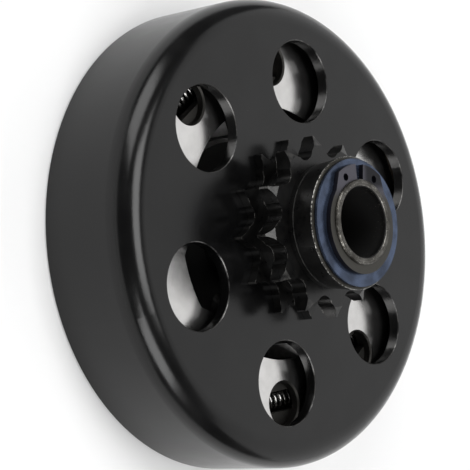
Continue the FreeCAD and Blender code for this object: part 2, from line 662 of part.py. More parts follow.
def make_shoe(label):
    """Shoe: a thick crescent with spring holes, slotted windows over them and pin holes."""
    body = new_body(label)
    rim_x = "(shoe_end_face + shoe_travel)"
    rim_y = "sqrt(shoe_outer * shoe_outer - %s * %s)" % (rim_x, rim_x)
    end_y = "sqrt(shoe_end_radius * shoe_end_radius - shoe_end_face * shoe_end_face)"
    sketch = new_sketch(body, "XY_Plane", "shoe_rear")
    add_outline(sketch, [
        ("shoe_end_face", "-" + rim_y, "shoe_outer", "left"),
        ("shoe_end_face", rim_y),
        ("shoe_end_face", end_y, "shoe_end_radius", "right"),
        on_circle("shoe_end_radius", "shoe_step_end"),
        on_circle("shoe_middle_radius", "shoe_step_start") + ("shoe_middle_radius", "right"),
        on_circle("shoe_middle_radius", "(-shoe_step_start)"),
        on_circle("shoe_end_radius", "(-shoe_step_end)") + ("shoe_end_radius", "right"),
        ("shoe_end_face", "-" + end_y),
    ])
    feature(body, "Pad", sketch, Length="shoe_thickness")

    sketch = new_sketch(body, "XY_Plane", "shoe_front")
    for side in ("", "-"):
        add_circle(sketch, "window_x", side + "window_y", "window_radius")
    feature(body, "Pocket", sketch, Length="window_depth")
    edges = round_edges(body.Shape, size("shoe_front"), size("window_radius"))
    chamfer(body, edges, "shoe_edge")

    pin_x = "spring_foot_x + pin_run * cos(spring_tilt)"
    pin_y = "(spring_foot_y - pin_run * sin(spring_tilt))"
    sketch = new_sketch(body, "XY_Plane", "shoe_rear")
    for side in ("", "-"):
        add_circle(sketch, pin_x, side + pin_y, "pin_radius")
    hole = feature(body, "Pocket", sketch, Length="pin_length")
    hole.Reversed = True
    doc.recompute()

    for side in (1, -1):
        sketch = spring_sketch(body, "window_floor", side)
        add_outline(sketch, [
            ("window_run - window_radius - slot_overrun", "-slot_half_width"),
            ("window_run + window_radius", "-slot_half_width"),
            ("window_run + window_radius", "slot_half_width"),
            ("window_run - window_radius - slot_overrun", "slot_half_width"),
        ])
        feature(body, "Pocket", sketch, Length="window_floor - spring_level")

        sketch = spring_sketch(body, "spring_level", side)
        add_outline(sketch, [
            ("-2 * spring_entry_run", "0"),
            ("hole_run", "0"),
            ("hole_run", "spring_hole_radius"),
            ("-2 * spring_entry_run", "spring_hole_radius"),
        ])
        hole = body.newObject("PartDesign::Groove", "Groove")
        hole.Profile = sketch
        hole.ReferenceAxis = (sketch, ["H_Axis"])
        hole.Angle = 360.0
        doc.recompute()
    return body


def make_lining(label):
    """Friction lining bonded to the outside of a shoe."""
    body = new_body(label)
    sketch = new_sketch(body, "XY_Plane", "shoe_rear + lining_side")
    corners = []
    for radius, side, turn in (("lining_outer", "-", "left"), ("lining_outer", "", ""),
                               ("shoe_outer", "", "right"), ("shoe_outer", "-", "")):
        across, up = on_circle(radius, "(%slining_half_angle)" % side)
        corner = (across + " - shoe_travel", up)
        corners.append(corner + (radius, turn) if turn else corner)
    add_outline(sketch, corners)
    feature(body, "Pad", sketch, Length="shoe_thickness - 2 * lining_side")
    return body


def make_pin(label, side_x, side_y):
    """Pin that a spring's hook pulls on, pressed in from the shoe's rear."""
    pin = doc.addObject("Part::Cylinder", "Pin")
    pin.Label = label
    bind(pin, "Radius", "pin_radius")
    bind(pin, "Height", "pin_length")
    bind(pin, "Placement.Base.x", "%d * (spring_foot_x + pin_run * cos(spring_tilt))" % side_x)
    bind(pin, "Placement.Base.y", "%d * (spring_foot_y - pin_run * sin(spring_tilt))" % side_y)
    bind(pin, "Placement.Base.z", "shoe_rear")


def make_shoe_set(letter, side, turn):
    """Make one shoe with its lining and its two spring pins, turned to its side."""
    for piece in (make_shoe("shoe_" + letter), make_lining("lining_" + letter)):
        piece.Placement = Placement(Vector(0, 0, 0), Rotation(Vector(0, 0, 1), turn))
    make_pin("spring_pin_%s_1" % letter, side, 1)
    make_pin("spring_pin_%s_2" % letter, side, -1)


def spring_frame(run):
    """Return the point and the direction of the spring's centre line at a run from its middle."""
    tilt = math.radians(size("spring_tilt"))
    bend = size("spring_bend_radius")
    side = 1 if run >= 0 else -1
    turned_by = min(abs(run) / bend, tilt)
    straight = abs(run) - turned_by * bend
    across = bend * math.sin(turned_by) + straight * math.cos(tilt)
    up = size("spring_top_y") - bend * (1 - math.cos(turned_by)) - straight * math.sin(tilt)
    point = Vector(side * across, up, size("spring_level"))
    direction = Vector(math.cos(turned_by), -side * math.sin(turned_by), 0)
    return point, direction


def spring_path():
    """Return the points of the spring's wire: hook, coils and hook."""
    half = math.radians(size("spring_tilt")) * size("spring_bend_radius") + size("coil_straight")
    turns = max(2, round(2 * half / size("coil_pitch")))
    steps = turns * TURN_STEPS
    coils = []
    for step in range(steps + 1):
        point, direction = spring_frame(half * (2.0 * step / steps - 1.0))
        outward = Vector(-direction.y, direction.x, 0)
        angle = 2 * math.pi * step / TURN_STEPS
        offset = outward * math.cos(angle) + Vector(0, 0, 1) * math.sin(angle)
        coils.append(point + offset * size("coil_radius"))
    hook = []
    point, direction = spring_frame(half + size("hook_radius") + size("wire_radius"))
    outward = Vector(-direction.y, direction.x, 0)
    for step in range(HOOK_STEPS + 1):
        angle = math.radians(90.0 - HOOK_TURN * step / HOOK_STEPS)
        offset = direction * math.cos(angle) + outward * math.sin(angle)
        hook.append(point + offset * size("hook_radius"))
    mirrored = [Vector(-place.x, place.y, place.z) for place in reversed(hook)]
    return mirrored + coils + hook


def wire_solid(path, radius):
    """Build a solid wire of flat sided runs, mitred where they meet."""
    runs = [(after - before).normalize() for before, after in zip(path, path[1:])]
    across = runs[0].cross(Vector(0, 0, 1)).normalize()
    upright = runs[0].cross(across)
    ring = []
    for side in range(WIRE_SIDES):
        angle = 2 * math.pi * side / WIRE_SIDES
        ring.append(path[0] + (across * math.cos(angle) + upright * math.sin(angle)) * radius)
    rings = [ring]
    for index in range(1, len(path)):
        run = runs[index - 1]
        normal = run + (runs[index] if index < len(runs) else run)
        moved = []
        for corner in rings[-1]:
            reach = (path[index] - corner).dot(normal) / run.dot(normal)
            moved.append(corner + run * reach)
        rings.append(moved)
    faces = []
    for first, second in zip(rings, rings[1:]):
        for side in range(WIRE_SIDES):
            after = (side + 1) % WIRE_SIDES
            corners = [first[side], first[after], second[after], second[side], first[side]]
            faces.append(Part.Face(Part.makePolygon(corners)))
    for end in (rings[0], rings[-1]):
        faces.append(Part.Face(Part.makePolygon(end + [end[0]])))
    solid = Part.Solid(Part.Shell(faces))
    if solid.Volume < 0:
        solid.reverse()
    return solid


def make_springs():
    """Two tension springs; each joins the shoes through the hole in one driving lug."""
    solid = wire_solid(spring_path(), size("wire_radius"))
    for label, turn in (("spring_1", 0), ("spring_2", 180)):
        spring = doc.addObject("Part::Feature", "Spring")
        spring.Label = label
        spring.Shape = solid
        spring.Placement = Placement(Vector(0, 0, 0), Rotation(Vector(0, 0, 1), turn))


def pieces_to_write():
    """Return the finished pieces of the document, by label."""
    helpers = ("drum_cup", "toothed_hole")
    kinds = ("PartDesign::Body", "Part::Cut", "Part::Cylinder", "Part::Feature")
    found = {}
    for item in doc.Objects:
        if item.TypeId in kinds and item.Label not in helpers:
            found[item.Label] = item
    return found


def check_document(pieces):
    """Stop if an object failed or a piece isn't one valid solid."""
    for item in doc.Objects:
        if "Invalid" in item.State or "Error" in item.State:
            raise RuntimeError("%s (%s) failed: %s" % (item.Name, item.Label, item.State))
    for label, item in pieces.items():
        shape = item.Shape
        if shape.isNull() or not shape.isValid() or len(shape.Solids) != 1:
            raise RuntimeError("%s isn't one valid solid" % label)


def main():
    """Make every piece, check the document and write one file for each piece."""
    make_drum()
    make_sprocket()
    make_bush()
    make_washers()
    make_snap_ring()
    make_driver()
    make_rear_plate()
    make_rivets()
    make_shoe_set("a", 1, 0)
    make_shoe_set("b", -1, 180)
    make_springs()
    doc.recompute()
    pieces = pieces_to_write()
    check_document(pieces)
    os.makedirs("parts", exist_ok=True)
    for label, item in pieces.items():
        item.Shape.exportStep("parts/%s.step" % label)
    print("%d pieces written" % len(pieces))


main()
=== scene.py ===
"""Looks of a centrifugal clutch with a chain sprocket.

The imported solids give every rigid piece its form. This script dresses them with
finishes, winds the two tension springs from round wire, and sets up the floor,
the lights and the camera. The clutch's sizes are in millimetres until a mesh or
a bump is made of them, and the studio's are in metres. In a finish, a cover says
how strongly a layer shows, and a gloss is taken off the roughness.
"""

import logging
import math
from collections.abc import Mapping
from dataclasses import dataclass
from enum import Enum
from functools import cached_property

import bmesh
import bpy
from mathutils import Matrix, Vector


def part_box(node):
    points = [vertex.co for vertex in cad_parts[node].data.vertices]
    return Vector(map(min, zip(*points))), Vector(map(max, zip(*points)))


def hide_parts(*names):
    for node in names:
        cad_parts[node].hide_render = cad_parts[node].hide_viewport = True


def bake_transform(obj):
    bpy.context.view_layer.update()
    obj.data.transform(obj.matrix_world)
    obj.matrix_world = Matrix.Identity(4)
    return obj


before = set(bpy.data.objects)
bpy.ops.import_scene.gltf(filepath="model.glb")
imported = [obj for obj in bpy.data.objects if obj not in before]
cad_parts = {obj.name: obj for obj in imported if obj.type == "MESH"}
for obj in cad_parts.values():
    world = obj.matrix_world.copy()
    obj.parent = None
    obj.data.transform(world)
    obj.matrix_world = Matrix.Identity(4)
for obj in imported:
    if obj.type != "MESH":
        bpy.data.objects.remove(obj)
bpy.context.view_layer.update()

LOG = logging.getLogger("clutch")
MM = 0.001

# Red, green and blue
Colour = tuple[float, float, float]
# A point or a direction
Place = tuple[float, float, float]
# Size of a noise's grains in millimetres, and its octaves
Grain = tuple[float, float]
# Where a smooth step leaves 0 and where it reaches 1, which may be the lower value
Span = tuple[float, float]

WHITE: Colour = (1.0, 1.0, 1.0)
# Stretches the middle of a noise's range to 0 to 1
EVEN: Span = (0.3, 0.7)


def low_side(node: str, axis: str) -> float:
    """Return where a solid starts along an axis, x, y or z, in millimetres to three places."""
    return round(getattr(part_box(node)[0], axis) / MM, 3)


def high_side(node: str, axis: str) -> float:
    """Return where a solid ends along an axis, x, y or z, in millimetres to three places."""
    return round(getattr(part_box(node)[1], axis) / MM, 3)


DRUM_FACE = high_side("drum", "z")
SHOE_REAR = low_side("shoe_a", "z")
SHOE_FRONT = high_side("shoe_a", "z")
SHOE_MIDDLE = (SHOE_REAR + SHOE_FRONT) / 2.0


class Wire:
    """An output socket of a shader graph that takes part in Python arithmetic."""

    def __init__(self, graph: "Graph", socket: bpy.types.NodeSocket) -> None:
        """Keep the socket and the graph that it belongs to."""
        self.graph = graph
        self.socket = socket

    def _math(self, operation: str, *values: "Wire | float") -> "Wire":
        """Add one Math node.

        Args:
            operation: Name of the Math node's operation.
            values: Inputs in order, wires or numbers.

        Returns:
            The node's result.
        """
        return self.graph.add("ShaderNodeMath", {"operation": operation}, dict(enumerate(values)))

    def __add__(self, other: "Wire | float") -> "Wire":
        """Return the sum."""
        return self._math("ADD", self, other)

    __radd__ = __add__

    def __sub__(self, other: "Wire | float") -> "Wire":
        """Return the difference."""
        return self._math("SUBTRACT", self, other)

    def __rsub__(self, other: float) -> "Wire":
        """Return a number less this value."""
        return self._math("SUBTRACT", other, self)

    def __mul__(self, other: "Wire | float") -> "Wire":
        """Return the product."""
        return self._math("MULTIPLY", self, other)

    __rmul__ = __mul__

    def distance(self, level: float) -> "Wire":
        """Return how far the value lies from a level."""
        return self._math("ABSOLUTE", self - level)

    def maximum(self, other: "Wire | float") -> "Wire":
        """Return the larger of two values."""
        return self._math("MAXIMUM", self, other)

    def rise(self, low: float, high: float) -> "Wire":
        """Return a smooth step.

        Args:
            low: Value where the step starts, at 0.
            high: Value where it ends, at 1. Below low, the step falls.

        Returns:
            The step's height, 0 to 1.
        """
        inputs = {"Value": self, "From Min": low, "From Max": high}
        return self.graph.add("ShaderNodeMapRange", {"interpolation_type": "SMOOTHSTEP"}, inputs)


class Graph:
    """Builds the node tree of one material."""

    # A Mix node's sockets for colours, which share their names with others
    mix_low = 6
    mix_high = 7
    mix_result = 2

    def __init__(self, name: str) -> None:
        """Start an empty material.

        Args:
            name: The material's name.
        """
        self.material = bpy.data.materials.new(name)
        self.material.use_nodes = True
        self.tree = self.material.node_tree
        self.tree.nodes.clear()

    def add(
        self,
        kind: str,
        settings: Mapping[str, object],
        inputs: Mapping[str | int, object],
        output: str | int = 0,
    ) -> Wire:
        """Add any node.

        Args:
            kind: The node's type.
            settings: Its own properties, set first.
            inputs: Values or wires by socket name or number.
            output: The socket to return.

        Returns:
            The chosen output.
        """
        node = self.tree.nodes.new(kind)
        for name, value in settings.items():
            setattr(node, name, value)
        for name, value in inputs.items():
            self._feed(node.inputs[name], value)
        return Wire(self, node.outputs[output])

    def _feed(self, socket: bpy.types.NodeSocket, value: object) -> None:
        """Link a wire to an input, or set its own value.

        Args:
            socket: The input.
            value: A wire, a number, a vector or a colour.
        """
        if isinstance(value, Wire):
            self.tree.links.new(value.socket, socket)
        elif isinstance(value, tuple) and len(value) == 3 and socket.type == "RGBA":
            socket.default_value = (*value, 1.0)
        else:
            socket.default_value = value

    def vector(
        self, operation: str, first: object, second: object = None, scale: float | None = None
    ) -> Wire:
        """Add one Vector Math node.

        Args:
            operation: Name of its operation.
            first: First vector.
            second: Second vector, if the operation takes one.
            scale: Factor of the SCALE operation.

        Returns:
            The result as a vector, or as a number for LENGTH and DOT_PRODUCT.
        """
        inputs: dict[str | int, object] = {0: first}
        if second is not None:
            inputs[1] = second
        if scale is not None:
            inputs["Scale"] = scale
        output = "Value" if operation in ("LENGTH", "DOT_PRODUCT") else "Vector"
        return self.add("ShaderNodeVectorMath", {"operation": operation}, inputs, output)

    @cached_property
    def place(self) -> Wire:
        """Return the point on the surface, in millimetres."""
        metres = self.add("ShaderNodeTexCoord", {}, {}, "Object")
        return self.vector("SCALE", metres, scale=1.0 / MM)

    @cached_property
    def plan(self) -> Wire:
        """Return the point with its height set to 0."""
        return self.vector("MULTIPLY", self.place, (1.0, 1.0, 0.0))

    @cached_property
    def radius(self) -> Wire:
        """Return the distance from the shaft axis, in millimetres."""
        return self.vector("LENGTH", self.plan)

    @cached_property
    def height(self) -> Wire:
        """Return the height over the open rim's plane, in millimetres."""
        return self.add("ShaderNodeSeparateXYZ", {}, {0: self.place}, "Z")

    @cached_property
    def upward(self) -> Wire:
        """Return 1 where the surface faces up, 0 where it is upright, -1 where it faces down."""
        normal = self.add("ShaderNodeTexCoord", {}, {}, "Normal")
        return self.add("ShaderNodeSeparateXYZ", {}, {0: normal}, "Z")

    def noise(self, grain: Grain, at: Wire | None = None) -> Wire:
        """Add a noise.

        Args:
            grain: Size of its grains, and its octaves.
            at: Coordinates in millimetres, if not the point on the surface.

        Returns:
            Its value, 0 to 1.
        """
        size, octaves = grain
        inputs = {"Vector": self.place if at is None else at, "Scale": 1.0 / size, "Detail": octaves}
        return self.add("ShaderNodeTexNoise", {}, inputs, "Fac")

    def turned_marks(self, grain: Grain) -> Wire:
        """Return a noise that is the same all round the shaft axis, as a lathe leaves it."""
        rings = self.add("ShaderNodeCombineXYZ", {}, {0: self.radius, 1: self.height})
        return self.noise(grain, at=rings)

    def blend(self, factor: object, low: object, high: object) -> Wire:
        """Mix two colours by a factor, 0 to 1."""
        inputs = {"Factor": factor, self.mix_low: low, self.mix_high: high}
        return self.add("ShaderNodeMix", {"data_type": "RGBA"}, inputs, self.mix_result)

    def bump(self, height: Wire, depth: float, below: Wire | None = None) -> Wire:
        """Turn a height, 0 to 1, into a normal.

        Args:
            height: The relief.
            depth: Its full depth, in millimetres.
            below: A normal that it is laid over.

        Returns:
            The normal.
        """
        inputs: dict[str | int, object] = {"Height": height, "Distance": depth * MM, "Strength": 1.0}
        if below is not None:
            inputs["Normal"] = below
        return self.add("ShaderNodeBump", {}, inputs)

    def finish(self, **surface: object) -> bpy.types.Material:
        """Close the graph with a Principled shader.

        Args:
            surface: Its inputs by name, with spaces written as underscores.

        Returns:
            The material.
        """
        inputs = {name.replace("_", " "): value for name, value in surface.items()}
        shader = self.add("ShaderNodeBsdfPrincipled", {}, inputs)
        output = self.tree.nodes.new("ShaderNodeOutputMaterial")
        self._feed(output.inputs["Surface"], shader)
        return self.material


@dataclass(frozen=True)
class DrumCoating:
    """Semi-gloss black coating on pressed steel, rubbed thin on the hole edges."""

    dark: Colour = (0.0016, 0.0016, 0.0017)
    light: Colour = (0.0032, 0.0032, 0.0033)
    cloud: Grain = (9.0, 5.0)
    hazy: Span = (0.35, 0.75)
    dusty: Colour = (0.05, 0.05, 0.048)
    dust: Grain = (0.30, 2.0)
    dust_specks: Span = (0.74, 0.80)
    dust_cover: float = 0.25
    steel: Colour = (0.15, 0.146, 0.142)
    rubbing: Grain = (2.6, 3.0)
    rubbed_patches: Span = (0.34, 0.62)
    rubbed_slope: Span = (0.90, 0.80)
    rubbed_cover: float = 0.8
    edge_level: float = DRUM_FACE - 0.18
    level_fade: float = 0.04
    edge_reach: float = 47.0
    reach_fade: float = 0.5
    specular: float = 0.35
    roughness: float = 0.19
    haze_roughness: float = 0.05
    dust_roughness: float = 0.20
    rubbed_roughness: float = 0.10
    peel: Grain = (2.2, 2.0)
    peel_depth: float = 0.008
    grain: Grain = (0.42, 2.0)
    grain_depth: float = 0.010

    def rubbed_edges(self, graph: Graph) -> Wire:
        """Find where the coating is rubbed off the edges of the holes.

        Args:
            graph: The material's graph.

        Returns:
            The rubbing, 0 to 1.
        """
        edges = graph.upward.rise(*self.rubbed_slope)
        edges = edges * graph.height.rise(self.edge_level, self.edge_level + self.level_fade)
        edges = edges * graph.radius.rise(self.edge_reach, self.edge_reach - self.reach_fade)
        return edges * graph.noise(self.rubbing).rise(*self.rubbed_patches)

    def material(self) -> bpy.types.Material:
        """Make the finish.

        Returns:
            The finished material.
        """
        graph = Graph("drum_coating")
        cloud = graph.noise(self.cloud)
        dust = graph.noise(self.dust).rise(*self.dust_specks)
        edge = self.rubbed_edges(graph)
        bare = edge * self.rubbed_cover
        colour = graph.blend(cloud.rise(*EVEN), self.dark, self.light)
        colour = graph.blend(dust * self.dust_cover, colour, self.dusty)
        roughness = self.roughness + self.haze_roughness * cloud.rise(*self.hazy)
        roughness = roughness + self.dust_roughness * dust + self.rubbed_roughness * edge
        peel = graph.bump(graph.noise(self.peel), self.peel_depth)
        return graph.finish(
            Base_Color=graph.blend(bare, colour, self.steel),
            Metallic=bare,
            Specular_IOR_Level=self.specular,
            Roughness=roughness,
            Normal=graph.bump(graph.noise(self.grain), self.grain_depth, peel),
        )


@dataclass(frozen=True)
class BlackOxide:
    """Black finish on the turned and cut sprocket, worn through at its edges."""

    oxide: Colour = (0.0020, 0.0020, 0.0022)
    rubbed: Colour = (0.0046, 0.0044, 0.0041)
    steel: Colour = (0.42, 0.41, 0.39)
    patches: Grain = (1.5, 4.0)
    specks: Grain = (0.45, 4.0)
    # Front of the toothed end and both sides of the tooth row, above the drum's face
    edge_lifts: tuple[float, ...] = (2.1, 6.0, 10.1)
    edge_band: Span = (0.16, 0.04)
    edge_patches: Span = (0.50, 0.60)
    flank_slope: Span = (0.35, 0.15)
    past_collar: Span = (15.6, 15.9)
    tip_radius: float = 20.6
    tip_band: Span = (0.2, 0.03)
    tip_patches: Span = (0.4, 0.7)
    tip_cover: float = 0.08
    chamfer_band: Span = (2.7, 2.3)
    chamfer_below_flat: Span = (0.98, 0.93)
    chamfer_above_upright: Span = (0.35, 0.5)
    chamfer_patches: Span = (0.35, 0.65)
    chamfer_cover: float = 0.07
    collar_end: float = high_side("sprocket", "z")
    rim_drop: float = 0.32
    rim_band: Span = (0.16, 0.05)
    rim_reach: Span = (14.45, 14.55)
    rim_specks: Span = (0.46, 0.56)
    rim_patches: Span = (0.28, 0.55)
    rim_cover: float = 0.8
    step_drop: float = 6.05
    step_band: Span = (0.16, 0.05)
    step_patches: Span = (0.30, 0.60)
    step_cover: float = 0.14
    step_depth: float = 0.05
    face_dark: Colour = (0.012, 0.011, 0.009)
    face_light: Colour = (0.034, 0.032, 0.026)
    face_drop: Span = (0.36, 0.26)
    face_metal: float = 0.4
    specular: float = 0.35
    roughness: float = 0.24
    patch_roughness: float = 0.10
    worn_gloss: float = 0.05
    face_roughness: float = 0.22
    marks: Grain = (0.35, 4.0)
    marks_depth: float = 0.003

    def tooth_wear(self, graph: Graph, patches: Wire) -> Wire:
        """Return how far the teeth are worn bare.

        Args:
            graph: The material's graph.
            patches: Noise that breaks the wear up.

        Returns:
            The wear at the rows' edges, on the chamfers and at the tips.
        """
        levels = [DRUM_FACE + lift for lift in self.edge_lifts]
        edges = sum(graph.height.distance(level).rise(*self.edge_band) for level in levels)
        edges = edges * graph.upward.distance(0.0).rise(*self.flank_slope)
        edges = edges * graph.radius.rise(*self.past_collar) * patches.rise(*self.edge_patches)
        slope = graph.upward.rise(*self.chamfer_below_flat) * graph.upward.rise(*self.chamfer_above_upright)
        chamfers = slope * graph.radius.rise(*(self.tip_radius - inset for inset in self.chamfer_band))
        chamfers = chamfers * patches.rise(*self.chamfer_patches) * self.chamfer_cover
        tips = graph.radius.rise(*(self.tip_radius - inset for inset in self.tip_band))
        tips = tips * patches.rise(*self.tip_patches) * self.tip_cover
        return edges.maximum(chamfers).maximum(tips)

    def rim_wear(self, graph: Graph, patches: Wire, specks: Wire) -> Wire:
        """Return how far the collar's outer rim is worn bare.

        Args:
            graph: The material's graph.
            patches: Noise that breaks the wear up.
            specks: Finer noise that roughens its outline.

        Returns:
            The wear, up to the rim's cover.
        """
        rim = graph.height.distance(self.collar_end - self.rim_drop).rise(*self.rim_band)
        rim = rim * graph.radius.rise(*self.rim_reach)
        return rim * specks.rise(*self.rim_specks) * patches.rise(*self.rim_patches) * self.rim_cover

    def material(self) -> bpy.types.Material:
        """Make the finish.

        Returns:
            The finished material.
        """
        graph = Graph("black_oxide")
        patches = graph.noise(self.patches)
        specks = graph.noise(self.specks)
        step = graph.height.distance(self.collar_end - self.step_drop).rise(*self.step_band)
        step_wear = step * patches.rise(*self.step_patches) * self.step_cover
        wear = self.tooth_wear(graph, patches).maximum(self.rim_wear(graph, patches, specks))
        wear = wear.maximum(step_wear)
        face = graph.height.rise(*(self.collar_end - drop for drop in self.face_drop))
        face_tone = graph.blend(specks.rise(*EVEN), self.face_dark, self.face_light)
        base = graph.blend(patches.rise(*EVEN), self.oxide, self.rubbed)
        base = graph.blend(face, base, face_tone)
        roughness = self.roughness + self.patch_roughness * patches
        roughness = roughness - self.worn_gloss * wear + self.face_roughness * face
        marks = graph.turned_marks(self.marks)
        return graph.finish(
            Base_Color=graph.blend(wear, base, self.steel),
            Metallic=wear.maximum(face * self.face_metal),
            Specular_IOR_Level=self.specular,
            Roughness=roughness,
            Normal=graph.bump(marks, self.marks_depth, graph.bump(step, self.step_depth)),
        )


@dataclass(frozen=True)
class WornHub:
    """Bare steel of the hub: scuffed on the nose, painted dark as shade in the bore and round the foot."""

    patches: Grain = (1.2, 5.0)
    specks: Grain = (0.35, 3.0)
    marks: Grain = (0.30, 4.0)
    dull: Colour = (0.050, 0.047, 0.041)
    bright: Colour = (0.13, 0.125, 0.115)
    scuffs: Span = (0.70, 1.02)
    scuff_patches: float = 0.7
    chipped: Colour = (0.50, 0.48, 0.44)
    chips: Span = (0.62, 0.70)
    chip_cover: float = 0.8
    score_marks: Grain = (0.16, 2.0)
    score_patches: Grain = (1.6, 3.0)
    score_share: float = 0.55
    scratched: Colour = (0.44, 0.425, 0.39)
    scratches: Span = (0.84, 0.92)
    scratch_cover: float = 0.55
    grimy: Colour = (0.025, 0.023, 0.020)
    grime: Span = (0.73, 0.64)
    grime_cover: float = 0.8
    grey: Colour = (0.48, 0.475, 0.47)
    steel: Colour = (0.62, 0.61, 0.60)
    # Painted shade: near-black colour on the faces past the foot radius that do not face up
    painted_foot_shade: Colour = (0.020, 0.0195, 0.019)
    foot_radius: float = 22.3
    foot_fade: float = 0.4
    foot_slope: Span = (0.97, 0.90)
    nose_foot: float = low_side("snap_ring", "z")
    nose_fade: float = 0.4
    # Painted shade: near-black colour inside the bore, broken by stains towards the nose
    bore_shade: Colour = (0.003, 0.0028, 0.0025)
    bore_radius: float = 8.05
    bore_fade: float = 0.12
    stained: Colour = (0.24, 0.22, 0.19)
    stains: Span = (0.68, 0.74)
    stain_levels: Span = (40.0, 45.0)
    metal: float = 0.3
    nose_metal: float = 0.65
    roughness: float = 0.46
    nose_gloss: float = 0.18
    patch_roughness: float = 0.12
    bore_roughness: float = 0.2
    marks_depth: float = 0.006
    patch_depth: float = 0.010

    def scuffed_nose(self, graph: Graph, turned: Wire, patches: Wire, specks: Wire) -> Wire:
        """Return the colour of the nose.

        Args:
            graph: The material's graph.
            turned: Turning marks.
            patches: Coarse noise.
            specks: Fine noise.

        Returns:
            Steel with dull and bright scuffs, chips, scratches and grime between them.
        """
        scuffs = (turned + self.scuff_patches * patches).rise(*self.scuffs)
        tone = graph.blend(scuffs, self.dull, self.bright)
        tone = graph.blend(specks.rise(*self.chips) * self.chip_cover, tone, self.chipped)
        scores = graph.turned_marks(self.score_marks) + self.score_share * graph.noise(self.score_patches)
        tone = graph.blend(scores.rise(*self.scratches) * self.scratch_cover, tone, self.scratched)
        return graph.blend(scores.rise(*self.grime) * self.grime_cover, tone, self.grimy)

    def material(self) -> bpy.types.Material:
        """Make the finish.

        Returns:
            The finished material.
        """
        graph = Graph("worn_hub")
        patches = graph.noise(self.patches)
        specks = graph.noise(self.specks)
        turned = graph.turned_marks(self.marks)
        nose = graph.height.rise(self.nose_foot, self.nose_foot + self.nose_fade)
        inside = graph.radius.rise(self.bore_radius + self.bore_fade, self.bore_radius)
        past_foot = graph.radius.rise(self.foot_radius - self.foot_fade, self.foot_radius)
        forged = graph.blend(patches.rise(*EVEN), self.grey, self.steel)
        # Painted shade on the faces round the foot that do not face up
        forged = graph.blend(past_foot * graph.upward.rise(*self.foot_slope), self.painted_foot_shade, forged)
        base = graph.blend(nose, forged, self.scuffed_nose(graph, turned, patches, specks))
        stain = specks.rise(*self.stains) * graph.height.rise(*self.stain_levels)
        # Painted shade in the bore, with stains towards the nose
        dark = graph.blend(stain, self.bore_shade, self.stained)
        roughness = self.roughness - self.nose_gloss * nose
        roughness = roughness + self.patch_roughness * patches + self.bore_roughness * inside
        return graph.finish(
            Base_Color=graph.blend(inside, base, dark),
            Metallic=self.metal + self.nose_metal * (nose - nose * inside),
            Roughness=roughness,
            Normal=graph.bump(turned, self.marks_depth, graph.bump(patches, self.patch_depth)),
        )


@dataclass(frozen=True)
class BluedSteel:
    """Heat blued washer with fine turning marks."""

    low: Colour = (0.034, 0.045, 0.072)
    high: Colour = (0.072, 0.096, 0.155)
    cloud: Grain = (3.5, 4.0)
    marks: Grain = (0.22, 4.0)
    marks_depth: float = 0.002
    metal: float = 0.85
    roughness: float = 0.20
    marks_roughness: float = 0.12

    def material(self) -> bpy.types.Material:
        """Make the finish.

        Returns:
            The finished material.
        """
        graph = Graph("blued_washer")
        marks = graph.turned_marks(self.marks)
        return graph.finish(
            Base_Color=graph.blend(graph.noise(self.cloud).rise(*EVEN), self.low, self.high),
            Metallic=self.metal,
            Roughness=self.roughness + self.marks_roughness * marks,
            Normal=graph.bump(marks, self.marks_depth),
        )


@dataclass(frozen=True)
class RingSteel:
    """Stamped spring steel ring: lavender on one ear, painted shade on the other ear and on the side walls,
    beige grey round the rest.
    """

    body: Colour = (0.044, 0.042, 0.037)
    ears: Colour = (0.070, 0.068, 0.082)
    ears_ahead: Span = (5.5, 9.0)
    cloud: Grain = (1.8, 4.0)
    cloud_shift: float = 2.0
    # Painted shade: one ear is coloured darker than the other
    painted_ear_shade: Colour = (0.008, 0.008, 0.011)
    dark_ahead: Span = (7.0, 9.0)
    dark_beside: Span = (0.6, 3.0)
    pale: Colour = (0.035, 0.035, 0.038)
    pale_patches: Span = (0.62, 0.8)
    pale_cover: float = 0.4
    # Painted shade: dark colour on the side walls, which do not face up
    edge: Colour = (0.010, 0.009, 0.013)
    edge_slope: Span = (0.8, 0.5)
    gap_direction: float = math.radians(248.0)
    metal: float = 0.75
    roughness: float = 0.42
    cloud_roughness: float = 0.12
    grain: Grain = (0.5, 3.0)
    grain_depth: float = 0.006

    def material(self) -> bpy.types.Material:
        """Make the finish.

        Returns:
            The finished material.
        """
        graph = Graph("ring_steel")
        cosine = math.cos(self.gap_direction)
        sine = math.sin(self.gap_direction)
        ahead = graph.vector("DOT_PRODUCT", graph.place, (cosine, sine, 0.0))
        beside = graph.vector("DOT_PRODUCT", graph.place, (sine, -cosine, 0.0))
        cloud = graph.noise(self.cloud)
        # Painted shade on the ear on one side
        painted_ear_shade = ahead.rise(*self.dark_ahead) * beside.rise(*self.dark_beside)
        tone = graph.blend((ahead + self.cloud_shift * cloud).rise(*self.ears_ahead), self.body, self.ears)
        tone = graph.blend(painted_ear_shade, tone, self.painted_ear_shade)
        tone = graph.blend(cloud.rise(*self.pale_patches) * self.pale_cover, tone, self.pale)
        return graph.finish(
            # Painted shade on the side walls
            Base_Color=graph.blend(graph.upward.rise(*self.edge_slope), tone, self.edge),
            Metallic=self.metal,
            Roughness=self.roughness + self.cloud_roughness * cloud,
            Normal=graph.bump(graph.noise(self.grain), self.grain_depth),
        )


